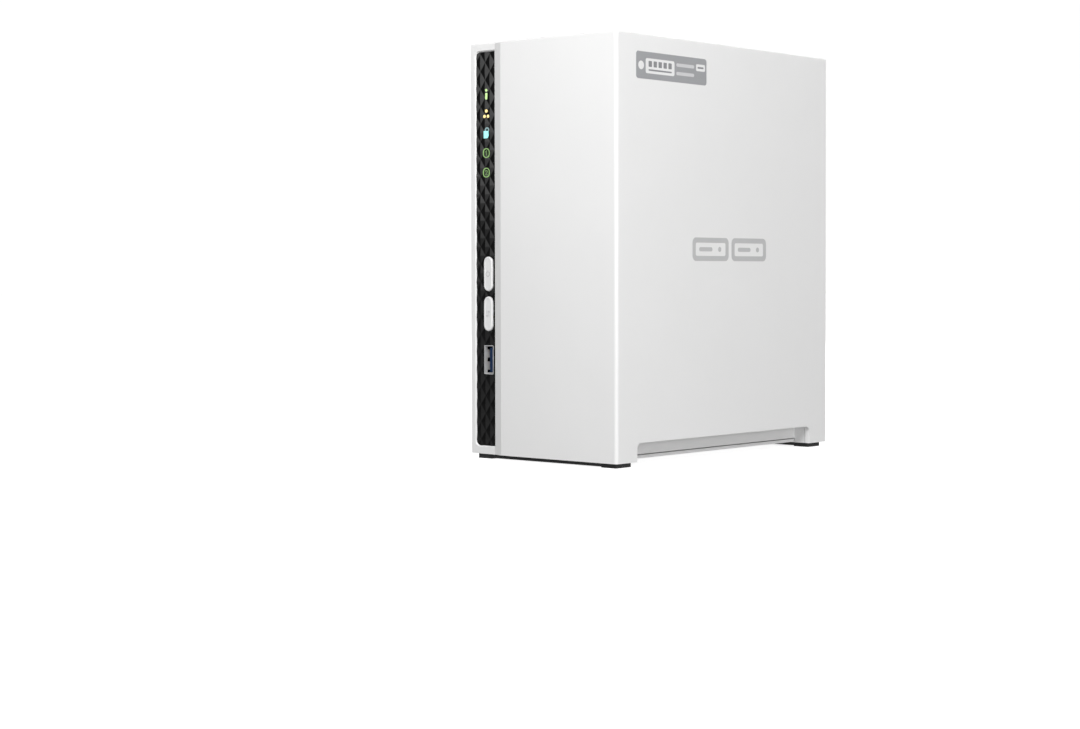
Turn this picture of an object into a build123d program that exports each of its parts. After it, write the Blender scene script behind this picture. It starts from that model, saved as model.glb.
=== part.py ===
from build123d import *
from math import cos, radians, sin
import os

os.makedirs("parts", exist_ok=True)

# A two-bay desktop storage enclosure. X runs to the right, -Y is the front, Z is up, in mm.
# The feet stand on Z = 0, and X = Y = 0 is the middle of the footprint.

# ---------------------------------------------------------------- driving dimensions
WIDTH = 90.0
DEPTH = 156.0
HEIGHT = 189.5
FOOT = 2.2
WALL = 2.5
CORNER = 1.6
LEFT_CORNER = 0.6
RIM = 0.4
TOP_EDGE = 0.6
GAP = 0.2

LEFT = -WIDTH / 2
RIGHT = WIDTH / 2
FRONT = -DEPTH / 2
REAR = DEPTH / 2
TOP = HEIGHT

# Front strip, set back behind the main front, and the bevel between them
STRIP_Y = FRONT + 1.45
SPLIT_X = -29.7
BEVEL_X = -24.6
STRIP_WALL = 3.0
STRIP_INNER = STRIP_Y + STRIP_WALL

# Black inlay in the strip
INLAY_LEFT = -41.6
INLAY_BOTTOM = FOOT + 3.9
INLAY_TOP = TOP - 3.9
INLAY_BACK = STRIP_Y + 1.5
INLAY_THICKNESS = 1.35
INLAY_CORNER = 2.0
SEAT_CHAMFER = 0.6

# Front controls
CONTROL_X = -33.9
BUTTON_WIDTH = 5.4
BUTTON_HEIGHT = 15.8
POWER_Z = 84.5
COPY_Z = 66.3
BUTTON_FACE = STRIP_Y - 0.4
BUTTON_PLAY = 0.3
PORT_Z = 45.3
PORT_WIDTH = 5.8
PORT_HEIGHT = 13.2
PORT_SHEET = 0.3
PORT_CORNER = 0.45
PORT_FRONT = INLAY_BACK - INLAY_THICKNESS + 0.1
ICON_X = -35.2
ICON_TOP_Z = 166.4
ICON_PITCH = 8.93

# Label on the right-hand side
LABEL_FRONT = -65.0
LABEL_REAR = -16.0
LABEL_BOTTOM = 169.9
LABEL_TOP = 181.8
LABEL_THICKNESS = 0.08
LABEL_CORNER = 1.8

# Side air intakes
INTAKE_FRONT = -64.3
INTAKE_REAR = 64.1
INTAKE_TOP = FOOT + 8.3
INTAKE_WALL_X = 36.1
INTAKE_CORNER = 2.7

# Feet: a pad at each end of a thinner bar
FOOT_X = 42.0
PAD_INNER_X = 33.4
PAD_LIFT = 0.4
FRONT_FOOT_Y = (-75.0, -64.8)
REAR_FOOT_Y = (67.3, 77.1)

# Chassis
TRAY_LEFT = LEFT + WALL
TRAY_RIGHT = RIGHT - WALL - 0.3
TRAY_TOP = 12.3
PLATE_BOTTOM = 2.6
PANEL_FRONT = REAR - 4.0
PANEL_REAR = REAR - 2.0
BOARD = 1.6
MAIN_BOARD_X = -40.0
MAIN_FACE_X = MAIN_BOARD_X + BOARD
FRONT_BOARD_Y = -62.0
FRONT_BOARD_REAR = FRONT_BOARD_Y + BOARD
BACKPLANE_Z = 15.0
BACKPLANE_TOP = BACKPLANE_Z + BOARD

# Parts on the main board: the middle of each, as Y and Z
CHIP_Y = -5.0
CHIP_Z = 84.0
CHIP_HALF = 9.5
HEATSINK_HALF = 19.0
FINS = 9
MEMORY_Z = (74.0, 92.0)
HEADER_Y = 24.0
HEADER_Z = 112.0

# Drive cage: two bays side by side in X, the drives standing on end
SHEET = 1.0
BAY = 27.6
CAGE_LEFT = -22.0
CAGE_RIGHT = CAGE_LEFT + 3 * SHEET + 2 * BAY
CAGE_FRONT = -73.0
CAGE_REAR = 34.4
CAGE_TOP = 150.0
CAGE_FLOOR = TRAY_TOP + SHEET
DRIVE_DEPTH = 101.6
CARRIER_RAIL = 2.0
CARRIER_PLATE = 1.0
CARRIER_WIDTH = 27.2
CARRIER_TOP = 174.0
RAIL_FRONT = -72.5
RAIL_REAR = RAIL_FRONT + 2 * CARRIER_RAIL + DRIVE_DEPTH + 0.1

# Fan
FAN_X = 1.0
FAN_Z = 120.0
FAN_SIZE = 70.0
FAN_DEPTH = 25.0
FAN_HOLES = 60.0
FAN_BORE = 33.5
FAN_FRONT = PANEL_FRONT - FAN_DEPTH
BLADES = 7

# Rear sockets: (height above the floor) on the main board's edge
INLET_Z = 21.0
REAR_PORT_Z = (37.5, 54.0)
LAN_Z = 74.0
RESET_Z = 92.0
RESET_X = -36.0
LOCK_X = -34.0
LOCK_Z = 170.0
INLET_X = MAIN_FACE_X + 5.5
LAN_X = MAIN_FACE_X + 6.75
REAR_PORT_X = MAIN_FACE_X + 2.9

FRONT_POSTS_Z = (33.5, 120.0, 173.5)
FRONT_POST_X = -36.0
MAIN_HOLES = ((-50.0, 26.0), (-50.0, 142.0), (50.0, 26.0), (44.0, 142.0))
BACKPLANE_HOLES = ((-27.0, -58.0), (-27.0, -12.0), (29.0, -58.0), (29.0, -12.0))
CAGE_SCREWS = ((-15.0, -69.0), (30.0, -69.0), (-15.0, 27.0), (30.0, 27.0))
PLATE_SCREWS = ((-28.0, -50.0), (28.0, -50.0), (-28.0, 50.0), (28.0, 50.0))
COVER_SCREW_X = 39.6
COVER_SCREWS_Z = (20.5, 180.0)
PILOT = 1.25
SHANK = 1.2
HEAD = 2.4
HEAD_RISE = 1.3


# ---------------------------------------------------------------- helpers
def block(low, high, mode=Mode.ADD):
    """A box between two opposite corners."""
    middle = tuple((a + b) / 2 for a, b in zip(low, high))
    with Locations(middle):
        Box(*(b - a for a, b in zip(low, high)), mode=mode)


def rod(plane, centre, radius, length, mode=Mode.ADD):
    """A round bar, or a bore: a circle on the plane, pushed along its normal."""
    with BuildSketch(plane) as disc:
        with Locations(centre):
            Circle(radius)
    extrude(disc.sketch, amount=length, mode=mode)


def pill(plane, centre, width, height, length, mode=Mode.ADD):
    """An upright bar with round ends, pushed along the plane's normal."""
    with BuildSketch(plane) as outline:
        with Locations(centre):
            SlotOverall(height, width, rotation=90)
    extrude(outline.sketch, amount=length, mode=mode)


def intake_cut(plane, length):
    """The air intake along the lower edge of a side wall, open at the bottom."""
    middle = (INTAKE_FRONT + INTAKE_REAR) / 2
    with BuildSketch(plane) as opening:
        with Locations((middle, INTAKE_TOP - 10)):
            Rectangle(INTAKE_REAR - INTAKE_FRONT, 20)
        fillet(opening.vertices().group_by(Axis.Y)[-1], INTAKE_CORNER)
    extrude(opening.sketch, amount=length, mode=Mode.SUBTRACT)


def port_outline():
    """The section of a socket's folded steel shell."""
    RectangleRounded(PORT_WIDTH, PORT_HEIGHT, PORT_CORNER)
    inner_width = PORT_WIDTH - 2 * PORT_SHEET
    inner_height = PORT_HEIGHT - 2 * PORT_SHEET
    RectangleRounded(inner_width, inner_height, PORT_CORNER - 0.25, mode=Mode.SUBTRACT)


def in_seat(point):
    """Whether a point of the strip's front face is on the rim of the inlay's seat."""
    return LEFT + 2 < point.X < shell_edge - GAP and INLAY_BOTTOM - 1 < point.Z < INLAY_TOP + 1


def at_y(y):
    """The upright plane at y whose normal is the front direction, -Y."""
    return Plane.XZ.offset(-y)


def at_x(x):
    """The upright plane at x whose normal is +X."""
    return Plane.YZ.offset(x)


# ---------------------------------------------------------------- outer shells
shell_edge = SPLIT_X - GAP / 2
cover_edge = SPLIT_X + GAP / 2
icon_heights = [ICON_TOP_Z - ICON_PITCH * number for number in range(5)]

with BuildPart() as left_shell:
    with BuildSketch(Plane.XY.offset(FOOT)):
        with BuildLine():
            Polyline((LEFT, STRIP_Y), (shell_edge, STRIP_Y), (shell_edge, REAR), (LEFT, REAR), close=True)
        make_face()
    extrude(amount=TOP - FOOT)
    left_edges = left_shell.edges().filter_by(Axis.Z).group_by(Axis.X)[0].sort_by(Axis.Y)
    fillet(left_edges[0], LEFT_CORNER)
    fillet(left_edges[-1], RIM)
    rim_edges = left_shell.faces().sort_by(Axis.Z)[-1].edges().sort_by(Axis.X)[:-1].sort_by(Axis.Y)
    fillet(rim_edges[:-1], TOP_EDGE)
    block((LEFT + WALL, STRIP_INNER, 0), (0, REAR + 1, TOP - WALL), Mode.SUBTRACT)
    # lip behind the cover's bevel, and ledge under the cover's top
    block((shell_edge - 1, INLAY_BACK, FOOT + GAP), (-26.5, STRIP_INNER, TOP - WALL - GAP))
    block((-33, STRIP_INNER, 184.4), (shell_edge, PANEL_FRONT, TOP - WALL))
    block((-33, STRIP_INNER, 184.4), (-26.5, PANEL_FRONT, TOP - WALL - GAP))
    # seat for the inlay
    with BuildSketch(at_y(STRIP_Y)) as seat:
        with Locations(((INLAY_LEFT - 20) / 2, (INLAY_BOTTOM + INLAY_TOP) / 2)):
            Rectangle(-20 - INLAY_LEFT + 0.2, INLAY_TOP - INLAY_BOTTOM + 0.2)
        fillet(seat.vertices().group_by(Axis.X)[0], INLAY_CORNER)
    extrude(amount=STRIP_Y - INLAY_BACK, mode=Mode.SUBTRACT)
    strip_edges = left_shell.faces().sort_by(Axis.Y)[0].edges()
    seat_edges = [edge for edge in strip_edges if in_seat(edge.center())]
    chamfer(seat_edges, SEAT_CHAMFER)
    # openings behind the controls and the lights
    hole_width = BUTTON_WIDTH + BUTTON_PLAY
    hole_height = BUTTON_HEIGHT + BUTTON_PLAY
    for height in (POWER_Z, COPY_Z):
        pill(at_y(STRIP_INNER + 1), (CONTROL_X, height), hole_width, hole_height, 6, Mode.SUBTRACT)
    block((CONTROL_X - 3.1, STRIP_Y - 1, PORT_Z - 6.8), (CONTROL_X + 3.1, -70, PORT_Z + 6.8), Mode.SUBTRACT)
    for height in icon_heights:
        block((ICON_X - 2.3, -77, height - 2.8), (ICON_X + 2.3, -73, height + 2.8), Mode.SUBTRACT)
    # posts for the front board and the main board
    for height in FRONT_POSTS_Z:
        rod(at_y(FRONT_BOARD_Y), (FRONT_POST_X, height), 2.3, FRONT_BOARD_Y - STRIP_INNER)
        rod(at_y(FRONT_BOARD_Y), (FRONT_POST_X, height), PILOT, 6, Mode.SUBTRACT)
    for place in MAIN_HOLES:
        rod(at_x(LEFT + WALL), place, 3.0, MAIN_BOARD_X - LEFT - WALL)
        rod(at_x(LEFT + 0.8), place, PILOT, 6, Mode.SUBTRACT)
    intake_cut(at_x(LEFT - 1), WALL + 2)
left_shell.part.label = "left_shell"
export_step(left_shell.part, "parts/left_shell.step")

with BuildPart() as cover:
    with BuildSketch(Plane.XY.offset(FOOT)):
        with BuildLine():
            Polyline(
                (cover_edge, STRIP_Y),
                (BEVEL_X, FRONT),
                (RIGHT, FRONT),
                (RIGHT, REAR),
                (cover_edge, REAR),
                close=True,
            )
        make_face()
    extrude(amount=TOP - FOOT)
    right_edges = cover.edges().filter_by(Axis.Z).group_by(Axis.X)[-1].sort_by(Axis.Y)
    fillet(right_edges[0], CORNER)
    fillet(right_edges[-1], RIM)
    rim_edges = cover.faces().sort_by(Axis.Z)[-1].edges().sort_by(Axis.X)[1:].sort_by(Axis.Y)
    fillet(rim_edges[:-1], TOP_EDGE)
    block((cover_edge - 1, FRONT + WALL, 0), (RIGHT - WALL, REAR + 1, TOP - WALL), Mode.SUBTRACT)
    # rail that runs over the chassis edge, and stiffening ribs
    block((RIGHT - WALL - 2, -68, 12.8), (RIGHT - WALL, 68, 14.2))
    for place in (-40, 0, 40):
        block((RIGHT - WALL - 0.8, place - 0.6, 14.2), (RIGHT - WALL, place + 0.6, TOP - WALL))
    for place in (-10, 10, 30):
        block((place - 0.6, FRONT + WALL, TOP - WALL - 1.2), (place + 0.6, 70, TOP - WALL))
    # bosses for the two rear screws
    block((36.8, 62, 17.0), (RIGHT - WALL, 73.7, 24.0))
    block((36.8, 62, 176.5), (RIGHT - WALL, 73.7, TOP - WALL))
    for height in COVER_SCREWS_Z:
        rod(at_y(73.7), (COVER_SCREW_X, height), 1.5, 11, Mode.SUBTRACT)
    intake_cut(at_x(RIGHT - WALL - 1), WALL + 2)
cover.part.label = "cover"
export_step(cover.part, "parts/cover.step")

with BuildPart() as side_label:
    with BuildSketch(at_x(RIGHT)):
        with Locations(((LABEL_FRONT + LABEL_REAR) / 2, (LABEL_BOTTOM + LABEL_TOP) / 2)):
            RectangleRounded(LABEL_REAR - LABEL_FRONT, LABEL_TOP - LABEL_BOTTOM, LABEL_CORNER)
    extrude(amount=LABEL_THICKNESS)
side_label.part.label = "side_label"
export_step(side_label.part, "parts/side_label.step")

# ---------------------------------------------------------------- base and feet
with BuildPart() as base_tray:
    # raised middle between the intakes
    block((-INTAKE_WALL_X, INTAKE_FRONT, 4.4), (INTAKE_WALL_X, INTAKE_REAR, 6.4))
    for side in (-1, 1):
        inner = side * (INTAKE_WALL_X - 2)
        outer = side * INTAKE_WALL_X
        rim = TRAY_LEFT if side < 0 else TRAY_RIGHT
        block((min(inner, outer), INTAKE_FRONT, 4.4), (max(inner, outer), INTAKE_REAR, TRAY_TOP))
        block((min(outer, rim), INTAKE_FRONT, 10.8), (max(outer, rim), INTAKE_REAR, TRAY_TOP))
    # low ends that carry the feet
    block((TRAY_LEFT, STRIP_INNER, FOOT), (TRAY_RIGHT, INTAKE_FRONT, 4.2))
    block((-26.2, FRONT + WALL + 0.3, FOOT), (TRAY_RIGHT, STRIP_INNER, 4.2))
    block((TRAY_LEFT, INTAKE_REAR, FOOT), (TRAY_RIGHT, REAR - 0.4, 4.2))
    # upright walls of the ends
    block((TRAY_LEFT, INTAKE_FRONT - 2, FOOT), (TRAY_RIGHT, INTAKE_FRONT, TRAY_TOP))
    block((TRAY_LEFT, INTAKE_REAR, FOOT), (TRAY_RIGHT, INTAKE_REAR + 2, TRAY_TOP))
    block((TRAY_LEFT, STRIP_INNER, FOOT), (TRAY_RIGHT, STRIP_INNER + 1.5, TRAY_TOP))
    block((TRAY_LEFT, PANEL_FRONT - 2, FOOT), (TRAY_RIGHT, PANEL_FRONT, TRAY_TOP))
    for near, far in ((STRIP_INNER, INTAKE_FRONT), (INTAKE_REAR, PANEL_FRONT)):
        block((TRAY_LEFT, near, FOOT), (TRAY_LEFT + 2, far, TRAY_TOP))
        block((TRAY_RIGHT - 2, near, FOOT), (TRAY_RIGHT, far, TRAY_TOP))
    # posts for the cage, the backplane and the belly plate
    for place in CAGE_SCREWS:
        rod(Plane.XY.offset(4), place, 3.2, TRAY_TOP - 4)
        rod(Plane.XY.offset(TRAY_TOP), place, PILOT, -5, Mode.SUBTRACT)
    for place in BACKPLANE_HOLES:
        rod(Plane.XY.offset(6), place, 3.0, BACKPLANE_Z - 6)
        rod(Plane.XY.offset(BACKPLANE_Z), place, PILOT, -6, Mode.SUBTRACT)
    for place in PLATE_SCREWS:
        rod(Plane.XY.offset(6), place, 3.0, 4)
        rod(Plane.XY.offset(4), place, PILOT, 5, Mode.SUBTRACT)
    # air slots in the roof of each intake
    with BuildSketch(Plane.XY.offset(10)):
        for place in (-39.2, 39.0):
            with Locations((place, 0)):
                with GridLocations(1, 6, 1, 20):
                    SlotOverall(4, 2.4)
    extrude(amount=4, mode=Mode.SUBTRACT)
base_tray.part.label = "base_tray"
export_step(base_tray.part, "parts/base_tray.step")

with BuildPart() as bottom_plate:
    with BuildSketch(Plane.XY.offset(PLATE_BOTTOM)):
        with Locations((0, -0.1)):
            RectangleRounded(73.2, 127.8, 1.5)
    extrude(amount=1.4)
    for place in PLATE_SCREWS:
        rod(Plane.XY.offset(4), place, 3.6, 0.4)
    with Locations(Plane.XY.offset(PLATE_BOTTOM).rotated((180, 0, 0))):
        for x, y in PLATE_SCREWS:
            with Locations((x, -y, 0)):
                CounterSinkHole(1.35, 2.8, counter_sink_angle=90)
bottom_plate.part.label = "bottom_plate"
export_step(bottom_plate.part, "parts/bottom_plate.step")

for foot_name, (near, far) in (("front_foot", FRONT_FOOT_Y), ("rear_foot", REAR_FOOT_Y)):
    with BuildPart() as foot:
        with BuildSketch(at_y(near)):
            with BuildLine():
                Polyline(
                    (-FOOT_X, FOOT),
                    (-FOOT_X, 0),
                    (-PAD_INNER_X, 0),
                    (-PAD_INNER_X, PAD_LIFT),
                    (PAD_INNER_X, PAD_LIFT),
                    (PAD_INNER_X, 0),
                    (FOOT_X, 0),
                    (FOOT_X, FOOT),
                    close=True,
                )
            make_face()
        extrude(amount=near - far)
        for side in (0, -1):
            fillet(foot.edges().filter_by(Axis.Z).group_by(Axis.X)[side], 0.6)
    foot.part.label = foot_name
    export_step(foot.part, "parts/" + foot_name + ".step")

# ---------------------------------------------------------------- front inlay and its controls
with BuildPart() as front_inlay:
    with BuildSketch(at_y(INLAY_BACK)) as plate:
        with Locations(((INLAY_LEFT + shell_edge) / 2, (INLAY_BOTTOM + INLAY_TOP) / 2)):
            Rectangle(shell_edge - INLAY_LEFT, INLAY_TOP - INLAY_BOTTOM)
        fillet(plate.vertices().group_by(Axis.X)[0], INLAY_CORNER)
        for height in (POWER_Z, COPY_Z):
            with Locations((CONTROL_X, height)):
                SlotOverall(hole_height, hole_width, rotation=90, mode=Mode.SUBTRACT)
        with Locations((CONTROL_X, PORT_Z)):
            RectangleRounded(PORT_WIDTH + 0.1, PORT_HEIGHT + 0.1, 0.5, mode=Mode.SUBTRACT)
    extrude(amount=INLAY_THICKNESS)
front_inlay.part.label = "front_inlay"
export_step(front_inlay.part, "parts/front_inlay.step")

for button_name, height in (("power_button", POWER_Z), ("copy_button", COPY_Z)):
    with BuildPart() as button:
        pill(at_y(-73.3), (CONTROL_X, height), BUTTON_WIDTH, BUTTON_HEIGHT, -73.3 - BUTTON_FACE)
        fillet(button.faces().sort_by(Axis.Y)[0].edges(), 0.6)
        pill(at_y(BUTTON_FACE), (CONTROL_X, height), 3.6, BUTTON_HEIGHT - 1.8, -0.15, Mode.SUBTRACT)
        pill(at_y(-72.3), (CONTROL_X, height), BUTTON_WIDTH + 1.4, BUTTON_HEIGHT + 1.2, 1.0)
        rod(at_y(-66.6), (CONTROL_X, height), 1.5, 5.8)
    button.part.label = button_name
    export_step(button.part, "parts/" + button_name + ".step")

with BuildPart() as front_usb_shell:
    with BuildSketch(at_y(FRONT_BOARD_Y)):
        with Locations((CONTROL_X, PORT_Z)):
            port_outline()
    extrude(amount=FRONT_BOARD_Y - PORT_FRONT)
    # windows beside the two grounding springs in the wide wall
    for offset, half in ((-5.3, 0.6), (0, 0.9), (5.3, 0.6)):
        low = (CONTROL_X - 4, PORT_FRONT + 1.8, PORT_Z + offset - half)
        block(low, (CONTROL_X - 2, PORT_FRONT + 6, PORT_Z + offset + half), Mode.SUBTRACT)
front_usb_shell.part.label = "front_usb_shell"
export_step(front_usb_shell.part, "parts/front_usb_shell.step")

with BuildPart() as front_usb_tongue:
    block((CONTROL_X + 0.3, PORT_FRONT + 0.5, PORT_Z - 5.5), (CONTROL_X + 2.1, -64, PORT_Z + 5.5))
    block((CONTROL_X - 2.5, -64.6, PORT_Z - 6.2), (CONTROL_X + 2.5, FRONT_BOARD_Y, PORT_Z + 6.2))
front_usb_tongue.part.label = "front_usb_tongue"
export_step(front_usb_tongue.part, "parts/front_usb_tongue.step")

with BuildPart() as front_usb_contacts:
    for number in range(4):
        z = PORT_Z - 3.75 + 2.5 * number
        block((CONTROL_X, PORT_FRONT + 1.2, z - 0.5), (CONTROL_X + 0.3, PORT_FRONT + 8, z + 0.5))
    for number in range(5):
        z = PORT_Z - 4.0 + 2.0 * number
        block((CONTROL_X + 0.1, PORT_FRONT + 9, z - 0.35), (CONTROL_X + 0.3, PORT_FRONT + 11, z + 0.35))
front_usb_contacts.part.label = "front_usb_contacts"
export_step(front_usb_contacts.part, "parts/front_usb_contacts.step")

for lamp, height in zip(("status", "lan", "usb", "drive_1", "drive_2"), icon_heights):
    pipe_name = lamp + "_light_pipe"
    with BuildPart() as light_pipe:
        block((ICON_X - 2.2, INLAY_BACK, height - 2.7), (ICON_X + 2.2, -63.2, height + 2.7))
        block((ICON_X - 2.9, STRIP_INNER, height - 3.4), (ICON_X + 2.9, STRIP_INNER + 1, height + 3.4))
        chamfer(light_pipe.faces().sort_by(Axis.Y)[-1].edges(), 0.8)
    light_pipe.part.label = pipe_name
    export_step(light_pipe.part, "parts/" + pipe_name + ".step")

with BuildPart() as front_board:
    block((-41.6, FRONT_BOARD_Y, 29), (-31.0, FRONT_BOARD_REAR, 177))
    for height in FRONT_POSTS_Z:
        rod(at_y(FRONT_BOARD_REAR + 1), (FRONT_POST_X, height), 1.3, 4, Mode.SUBTRACT)
front_board.part.label = "front_board"
export_step(front_board.part, "parts/front_board.step")

with BuildPart() as front_leds:
    for height in icon_heights:
        low = (ICON_X - 1.0, FRONT_BOARD_Y - 0.9, height - 0.8)
        block(low, (ICON_X + 1.0, FRONT_BOARD_Y, height + 0.8))
front_leds.part.label = "front_leds"
export_step(front_leds.part, "parts/front_leds.step")

with BuildPart() as button_switches:
    for height in (POWER_Z, COPY_Z):
        low = (CONTROL_X - 3.0, FRONT_BOARD_Y - 3.4, height - 3.0)
        block(low, (CONTROL_X + 2.8, FRONT_BOARD_Y, height + 3.0))
        rod(at_y(FRONT_BOARD_Y - 3.4), (CONTROL_X, height), 1.6, 0.5)
button_switches.part.label = "button_switches"
export_step(button_switches.part, "parts/button_switches.step")

with BuildPart() as front_ribbon:
    with BuildSketch(Plane.XY.offset(104)):
        with BuildLine() as bend:
            start = (-33.5, FRONT_BOARD_REAR)
            FilletPolyline(start, (-33.5, -50), (MAIN_FACE_X, -50), radius=3)
        trace(line_width=0.3)
    extrude(amount=10)
front_ribbon.part.label = "front_ribbon"
export_step(front_ribbon.part, "parts/front_ribbon.step")

# ---------------------------------------------------------------- main board
with BuildPart() as main_board:
    block((MAIN_BOARD_X, -57, 15), (MAIN_FACE_X, 71, 150))
    for place in MAIN_HOLES:
        rod(at_x(MAIN_BOARD_X - 1), place, 1.6, 4, Mode.SUBTRACT)
main_board.part.label = "main_board"
export_step(main_board.part, "parts/main_board.step")

with BuildPart() as processor:
    low = (MAIN_FACE_X, CHIP_Y - CHIP_HALF, CHIP_Z - CHIP_HALF)
    block(low, (MAIN_FACE_X + 2, CHIP_Y + CHIP_HALF, CHIP_Z + CHIP_HALF))
processor.part.label = "processor"
export_step(processor.part, "parts/processor.step")

with BuildPart() as processor_heatsink:
    base = MAIN_FACE_X + 2
    near = CHIP_Y - HEATSINK_HALF
    far = CHIP_Y + HEATSINK_HALF
    block((base, near, CHIP_Z - HEATSINK_HALF), (base + 2.5, far, CHIP_Z + HEATSINK_HALF))
    for number in range(FINS):
        z = CHIP_Z + 4.6 * (number - (FINS - 1) / 2)
        block((base, near, z - 0.6), (base + 11, far, z + 0.6))
processor_heatsink.part.label = "processor_heatsink"
export_step(processor_heatsink.part, "parts/processor_heatsink.step")

with BuildPart() as memory_chips:
    for z in MEMORY_Z:
        block((MAIN_FACE_X, -43, z - 6.5), (MAIN_FACE_X + 1.2, -32, z + 6.5))
memory_chips.part.label = "memory_chips"
export_step(memory_chips.part, "parts/memory_chips.step")

with BuildPart() as capacitors:
    with BuildSketch(at_x(MAIN_FACE_X)):
        with Locations((36, 32)):
            with GridLocations(9, 10, 2, 2):
                Circle(3.2)
    extrude(amount=8.5)
    fillet(capacitors.edges().group_by(Axis.X)[-1], 0.5)
capacitors.part.label = "capacitors"
export_step(capacitors.part, "parts/capacitors.step")

with BuildPart() as clock_battery:
    rod(at_x(MAIN_FACE_X), (-20, 130), 10.0, 3.2)
    fillet(clock_battery.edges().group_by(Axis.X)[-1], 0.4)
clock_battery.part.label = "clock_battery"
export_step(clock_battery.part, "parts/clock_battery.step")

with BuildPart() as board_header:
    block((MAIN_FACE_X, HEADER_Y - 3, HEADER_Z - 4), (MAIN_FACE_X + 5.4, HEADER_Y + 3, HEADER_Z + 4))
board_header.part.label = "board_header"
export_step(board_header.part, "parts/board_header.step")

with BuildPart() as board_screws:
    for place in MAIN_HOLES:
        rod(at_x(MAIN_FACE_X), place, SHANK, -5.6)
        rod(at_x(MAIN_FACE_X), place, HEAD, HEAD_RISE)
    for height in FRONT_POSTS_Z:
        rod(at_y(FRONT_BOARD_REAR), (FRONT_POST_X, height), SHANK, 6)
        rod(at_y(FRONT_BOARD_REAR), (FRONT_POST_X, height), HEAD, -HEAD_RISE)
    for place in BACKPLANE_HOLES:
        rod(Plane.XY.offset(BACKPLANE_TOP), place, SHANK, -6)
        rod(Plane.XY.offset(BACKPLANE_TOP), place, HEAD, HEAD_RISE)
board_screws.part.label = "board_screws"
export_step(board_screws.part, "parts/board_screws.step")

# ---------------------------------------------------------------- rear sockets
with BuildPart() as power_inlet:
    block((MAIN_FACE_X, 61, INLET_Z - 4.5), (MAIN_FACE_X + 11, PANEL_FRONT - 0.2, INLET_Z + 4.5))
    rod(at_y(PANEL_REAR - 0.2), (INLET_X, INLET_Z), 4.2, 4)
    rod(at_y(PANEL_REAR), (INLET_X, INLET_Z), 2.8, 10, Mode.SUBTRACT)
    rod(at_y(PANEL_REAR - 1), (INLET_X, INLET_Z), 1.0, 11)
power_inlet.part.label = "power_inlet"
export_step(power_inlet.part, "parts/power_inlet.step")

with BuildPart() as lan_socket:
    block((MAIN_FACE_X, 55, LAN_Z - 8), (MAIN_FACE_X + 13.5, PANEL_REAR - 0.1, LAN_Z + 8))
    block((LAN_X - 4.2, 62, LAN_Z - 5.9), (LAN_X + 3.6, REAR, LAN_Z + 5.9), Mode.SUBTRACT)
    block((LAN_X - 5.6, 66, LAN_Z - 2.0), (LAN_X - 4, REAR, LAN_Z + 2.0), Mode.SUBTRACT)
lan_socket.part.label = "lan_socket"
export_step(lan_socket.part, "parts/lan_socket.step")

with BuildPart() as lan_contacts:
    for number in range(8):
        z = LAN_Z - 3.57 + 1.02 * number
        block((LAN_X + 2.4, 62, z - 0.2), (LAN_X + 2.8, 73, z + 0.2))
lan_contacts.part.label = "lan_contacts"
export_step(lan_contacts.part, "parts/lan_contacts.step")

with BuildPart() as rear_usb_shells:
    for height in REAR_PORT_Z:
        with BuildSketch(at_y(PANEL_REAR - 0.1)):
            with Locations((REAR_PORT_X, height)):
                port_outline()
    extrude(amount=15)
rear_usb_shells.part.label = "rear_usb_shells"
export_step(rear_usb_shells.part, "parts/rear_usb_shells.step")

with BuildPart() as rear_usb_tongues:
    for height in REAR_PORT_Z:
        block((REAR_PORT_X - 2.0, 62, height - 5.5), (REAR_PORT_X - 0.2, 75.2, height + 5.5))
        block((REAR_PORT_X - 2.5, 61, height - 6.2), (REAR_PORT_X + 2.5, 63, height + 6.2))
rear_usb_tongues.part.label = "rear_usb_tongues"
export_step(rear_usb_tongues.part, "parts/rear_usb_tongues.step")

with BuildPart() as reset_button:
    rod(at_y(73.5), (RESET_X, RESET_Z), 1.4, 3.9)
reset_button.part.label = "reset_button"
export_step(reset_button.part, "parts/reset_button.step")

with BuildPart() as reset_switch:
    block((MAIN_FACE_X, 66, RESET_Z - 3), (-34.3, 71.5, RESET_Z + 3))
    rod(at_y(71.5), (RESET_X, RESET_Z), 1.45, 2.5, Mode.SUBTRACT)
reset_switch.part.label = "reset_switch"
export_step(reset_switch.part, "parts/reset_switch.step")

# ---------------------------------------------------------------- backplane
with BuildPart() as backplane_board:
    block((-33.8, -62, BACKPLANE_Z), (33, -8, BACKPLANE_TOP))
    for place in BACKPLANE_HOLES:
        rod(Plane.XY.offset(BACKPLANE_Z - 1), place, 1.3, 4, Mode.SUBTRACT)
backplane_board.part.label = "backplane_board"
export_step(backplane_board.part, "parts/backplane_board.step")

with BuildPart() as backplane_socket:
    block((MAIN_FACE_X, -52, 12.9), (-30.6, -18, 18.9))
    block((-34.2, -63, BACKPLANE_Z), (-30, -7, BACKPLANE_TOP), Mode.SUBTRACT)
backplane_socket.part.label = "backplane_socket"
export_step(backplane_socket.part, "parts/backplane_socket.step")

bay_middles = [CAGE_LEFT + SHEET + BAY / 2 + (BAY + SHEET) * number for number in range(2)]
with BuildPart() as sata_connectors:
    for middle in bay_middles:
        x = middle - 9
        block((x - 2.8, -58, BACKPLANE_TOP), (x + 2.8, -16, 24.4))
        block((x - 1.2, -56, 19), (x + 0.8, -39, 25), Mode.SUBTRACT)
        block((x - 1.2, -36.5, 19), (x + 0.8, -18, 25), Mode.SUBTRACT)
        block((x - 0.6, -55, 19), (x + 0.4, -40, 24))
        block((x - 0.6, -35.5, 19), (x + 0.4, -19, 24))
sata_connectors.part.label = "sata_connectors"
export_step(sata_connectors.part, "parts/sata_connectors.step")

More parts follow.
